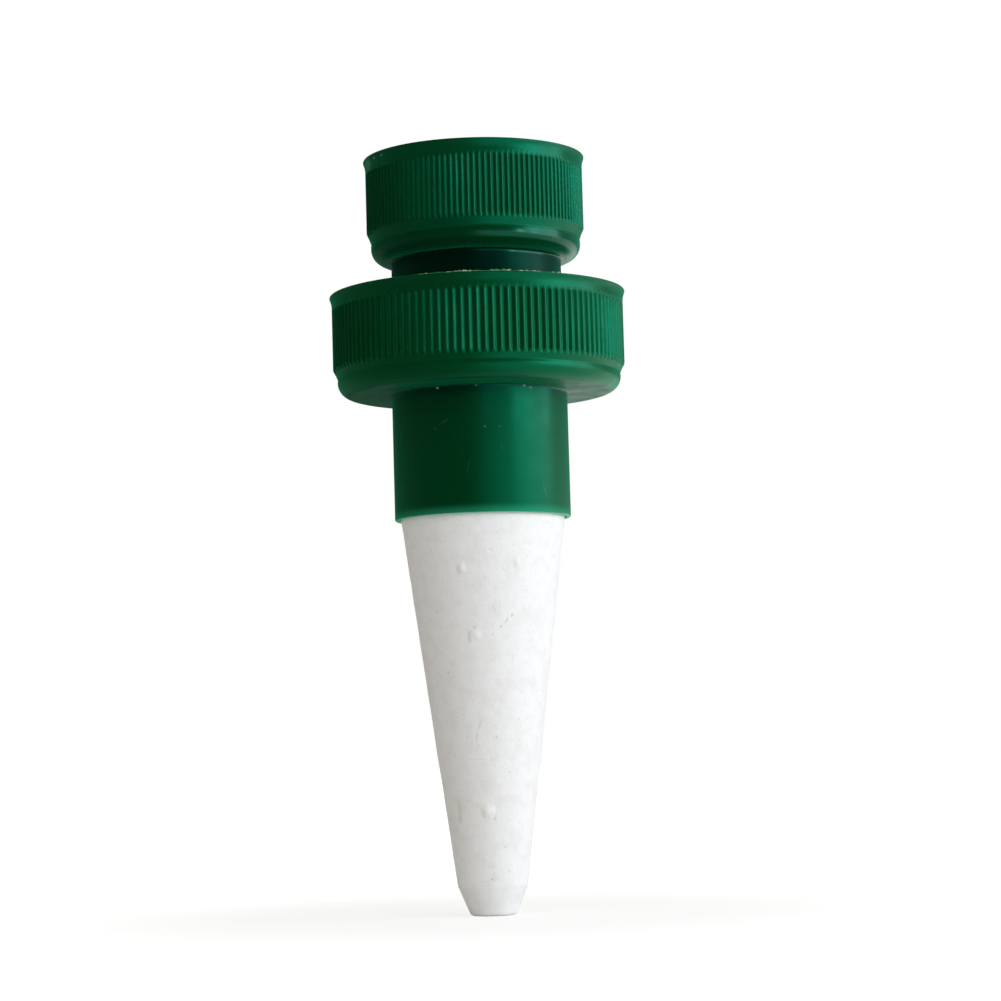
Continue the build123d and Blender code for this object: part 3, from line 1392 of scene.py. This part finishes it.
@dataclass
class TornFlash:
    """Ragged film left along the large cup's rim where a ring was torn off.

    A patch goes from one angle to another and has a share of the film's full height. A point that lies past
    its patch's end keeps the least share.
    """

    finish: bpy.types.Material
    cup: NodeSize = node_size("large_bottle_socket")
    inset: float = 0.2
    patches: tuple[tuple[float, float, float], ...] = (
        (-23.0, 34.0, 0.45),
        (-8.0, 1.0, 0.9),
        (5.5, 13.5, 1.0),
        (15.5, 24.0, 0.75),
        (128.0, 140.0, 0.9),
        (150.0, 166.0, 0.6),
        (195.0, 203.0, 1.0),
        (228.0, 236.0, 0.8),
    )
    film: float = 0.06
    rise: float = 0.10
    ragged: float = 0.12
    evenness: float = 0.3
    least: float = 0.3
    layers: int = 2
    columns: int = 900
    seed: int = 5
    smooth_angle: float = 40.0

    def shares(self, places: np.ndarray) -> np.ndarray:
        """How much of the full height the film has at some places.

        Args:
            places: One row for each place.

        Returns:
            A share for each place, 0 where the rim is bare.
        """
        angle = np.degrees(np.arctan2(places[:, 0], -places[:, 1]))
        shares = np.zeros(len(places))
        for start, end, share in self.patches:
            away = np.abs((angle - (start + end) / 2 + 180) % 360 - 180)
            shares = np.where(away < (end - start) / 2, np.maximum(shares, share), shares)
        return shares

    def build(self) -> None:
        """Model and place the film."""
        bench = Bench.from_ring("large_rim_flash", self.cup.radius - self.inset, self.columns)
        foot = Vector((0, 0, self.cup.top - self.film))
        bench.move(foot)
        bench.pick(np.flatnonzero(self.shares(bench.places()) == 0))
        bpy.ops.mesh.delete(type="VERT")
        bpy.ops.mesh.select_all(action="SELECT")
        for layer in range(self.layers):
            bench.extrude(Vector((0, 0, self.rise)))
            bpy.ops.transform.vertex_random(
                offset=self.ragged * MM, uniform=self.evenness, seed=self.seed + layer
            )
        shares = self.shares(bench.places())
        for share in sorted(set(shares)):
            bench.pick(np.flatnonzero(shares == share))
            bench.resize((1.0, 1.0, max(share, self.least)), foot)
        bench.weld()
        bench.modify("SOLIDIFY", thickness=self.film * MM, offset=-1)
        bench.weld()
        place_piece(bench.close(self.smooth_angle), self.finish, Body.SPIKE, Slot.GREEN_PLASTIC)


@dataclass
class PhotoCamera:
    """Camera at the photograph's view: a little below the middle, tipped up and slightly rolled."""

    side: float = 2.48
    distance: float = 385.6
    eye_level: float = -31.45
    tip_up: float = 5.04
    roll: float = -1.61
    focal_pixels: float = 2800.0
    nearest: float = 10.0

    def build(self) -> None:
        """Add the camera and make it the scene's own."""
        data = bpy.data.cameras.new("photo_camera")
        data.sensor_width = SENSOR_WIDTH
        data.lens = self.focal_pixels * SENSOR_WIDTH / IMAGE_SIDE
        data.clip_start = self.nearest * MM
        camera = bpy.data.objects.new("photo_camera", data)
        bpy.context.scene.collection.objects.link(camera)
        camera.location = Vector((self.side, -self.distance, self.eye_level)) * MM
        upright = Euler((math.radians(90 + self.tip_up), 0, 0)).to_matrix()
        camera.rotation_euler = (upright @ Matrix.Rotation(math.radians(self.roll), 3, "Z")).to_euler()
        bpy.context.scene.camera = camera


@dataclass
class SoftBox:
    """One soft lamp that faces the origin."""

    name: str
    angle: float
    rise: float
    distance: float
    width: float
    height: float
    power: float
    mirrored: bool = True
    tint: Colour = (0.92, 0.975, 1.06)

    def build(self) -> None:
        """Add the lamp."""
        data = bpy.data.lights.new(self.name, "AREA")
        data.shape = "RECTANGLE"
        data.size = self.width
        data.size_y = self.height
        data.energy = self.power
        data.color = self.tint
        lamp = bpy.data.objects.new(self.name, data)
        bpy.context.scene.collection.objects.link(lamp)
        lift = math.radians(self.rise)
        place = on_surface(self.angle, self.distance * math.cos(lift), self.distance * math.sin(lift))
        lamp.location = place
        lamp.rotation_euler = (-place).to_track_quat("-Z", "Y").to_euler()
        lamp.visible_glossy = self.mirrored


@dataclass
class Studio:
    """White floor and background, soft lamps, and a surround that only reflections see."""

    floor_level: float
    ambient: float = 0.50
    ambient_tint: Colour = (1.0, 0.955, 0.875)
    floor_side: float = 6.0
    floor_albedo: float = 0.8
    floor_lift: float = 0.04
    shadow_share: float = 0.30
    shadow_reach: tuple[float, float] = (0.02, 0.12)
    floor_mirrored: tuple[float, float] = (0.06, 0.88)
    mirrored_reach: tuple[float, float] = (-0.02, 0.06)
    lamps: tuple[SoftBox, ...] = (
        SoftBox("window_light", 79, 4, 0.60, 0.50, 0.62, 2.17),
        SoftBox("window_middle", 50, 4, 0.59, 0.06, 0.10, 0.19),
        SoftBox("window_bar", 67, 4, 0.59, 0.08, 0.60, 0.18),
        SoftBox("front_fill", 33, 20, 0.80, 0.50, 0.40, 2.00, mirrored=False),
    )
    surround_radius: float = 1.5
    surround_columns: int = 96
    surround_angle: float = 120.0
    surround_reach: tuple[float, float] = (-0.1, 0.8)
    surround_levels: tuple[float, float] = (0.01, 0.26)
    surround_tint: Colour = (0.35, 0.95, 0.95)

    def build(self) -> None:
        """Set up the background, the floor, the surround and the lamps."""
        scene = bpy.context.scene
        scene.view_settings.view_transform = "Standard"
        scene.world = self.world()
        self.floor()
        self.surround()
        for lamp in self.lamps:
            lamp.build()

    @staticmethod
    def seen(graph: Graph) -> Socket:
        """Socket that is 1 for rays that show the background.

        Args:
            graph: Graph that gets the nodes.

        Returns:
            The socket.
        """
        path = graph.add("LightPath").outputs
        mirrored = graph.math("MAXIMUM", path["Is Glossy Ray"], path["Is Transmission Ray"])
        return graph.math("MAXIMUM", path["Is Camera Ray"], mirrored)

    def world(self) -> bpy.types.World:
        """White background over a dimmer surrounding light.

        Returns:
            The world.
        """
        graph = Graph(bpy.data.worlds.new("studio"))
        seen = self.seen(graph)
        strength = graph.ramp(seen, 0.0, 1.0, self.ambient, 1.0)
        colour = graph.mix(seen, self.ambient_tint, WHITE)
        background = graph.add("Background", {"Color": colour, "Strength": strength})
        graph.add("OutputWorld", {"Surface": background.outputs[0]})
        return graph.owner

    def floor(self) -> None:
        """White floor that keeps a soft shadow near the object and mirrors bright on the right."""
        Bench.clear()
        bpy.ops.mesh.primitive_plane_add(size=self.floor_side, location=(0, 0, self.floor_level * MM))
        floor = bpy.context.active_object
        floor.name = "studio_floor"
        graph = Graph(bpy.data.materials.new("studio_floor"))
        unshadowed = 1.0 - self.shadow_share + self.floor_lift
        glow = graph.ramp(graph.length(graph.place), *self.shadow_reach, unshadowed, 1.0)
        white = graph.add("Emission", {"Color": WHITE, "Strength": glow}).outputs[0]
        catch = graph.add("BsdfDiffuse", {"Color": (self.shadow_share,) * 3}).outputs[0]
        shown = graph.add("AddShader", {0: white, 1: catch}).outputs[0]
        matte = graph.add("BsdfDiffuse", {"Color": (self.floor_albedo,) * 3}).outputs[0]
        across = graph.add("SeparateXYZ", {0: graph.place}).outputs["X"]
        level = graph.ramp(across, *self.mirrored_reach, *self.floor_mirrored)
        mirrored = graph.add("Emission", {"Color": WHITE, "Strength": level}).outputs[0]
        path = graph.add("LightPath").outputs
        unseen = graph.add("MixShader", {0: path["Is Glossy Ray"], 1: matte, 2: mirrored}).outputs[0]
        surface = graph.add("MixShader", {0: path["Is Camera Ray"], 1: unseen, 2: shown}).outputs[0]
        graph.add("OutputMaterial", {"Surface": surface})
        floor.data.materials.append(graph.owner)

    def surround(self) -> None:
        """Round wall that only reflections see, bright on the right and dark on the left."""
        Bench.clear()
        bpy.ops.mesh.primitive_cylinder_add(
            vertices=self.surround_columns,
            radius=self.surround_radius,
            depth=2 * self.surround_radius,
            end_fill_type="NGON",
        )
        wall = bpy.context.active_object
        wall.name = "surround"
        graph = Graph(bpy.data.materials.new("surround"))
        bright = {0: graph.place, 1: tuple(on_surface(self.surround_angle, 1.0, 0.0))}
        facing = graph.add("VectorMath", bright, operation="DOT_PRODUCT").outputs["Value"]
        start, end = (share * self.surround_radius for share in self.surround_reach)
        level = graph.ramp(facing, start, end, *self.surround_levels)
        shade = graph.add("Emission", {"Color": self.surround_tint, "Strength": level}).outputs[0]
        graph.add("OutputMaterial", {"Surface": shade})
        wall.data.materials.append(graph.owner)
        wall.visible_camera = False
        wall.visible_diffuse = False
        wall.visible_transmission = False
        wall.visible_shadow = False


def write_sizes() -> None:
    """Update the view layer.
    """
    bpy.context.view_layer.update()


def main() -> None:
    """Build the whole spike and its studio."""
    logging.basicConfig(level=logging.INFO, format="%(message)s")
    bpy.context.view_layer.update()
    reducer_green = GreenPlastic("reducer_green").material()
    # darker copy of the same green for the large socket: painted shade, as less light reaches the lower cup
    socket_green_painted_shade = GreenPlastic(
        "socket_green_painted_shade",
        body=(0.0008, 0.044, 0.0050),
        flow=(0.0007, 0.038, 0.0042),
        gloss_tint=(0.02, 1.0, 0.57),
    ).material()
    rubber = SealRubber("seal_rubber").material()
    torn = TornPlastic("torn_plastic").material()
    CeramicCone().build()
    LargeBottleSocket(socket_green_painted_shade).build()
    SmallBottleReducer(reducer_green).build()
    SealWasher("cone_seal_ring", Body.SPIKE, rubber, inner_radius=8.7).build()
    SealWasher("large_seal_washer", Body.SPIKE, rubber, inner_radius=13.35).build()
    SealWasher("small_seal_washer", Body.SMALL_WASHER, rubber, inner_radius=9.65).build()
    TornFlash(torn).build()
    Studio(node_size("ceramic_cone").bottom).build()
    PhotoCamera().build()
    write_sizes()


if __name__ == "__main__":
    main()
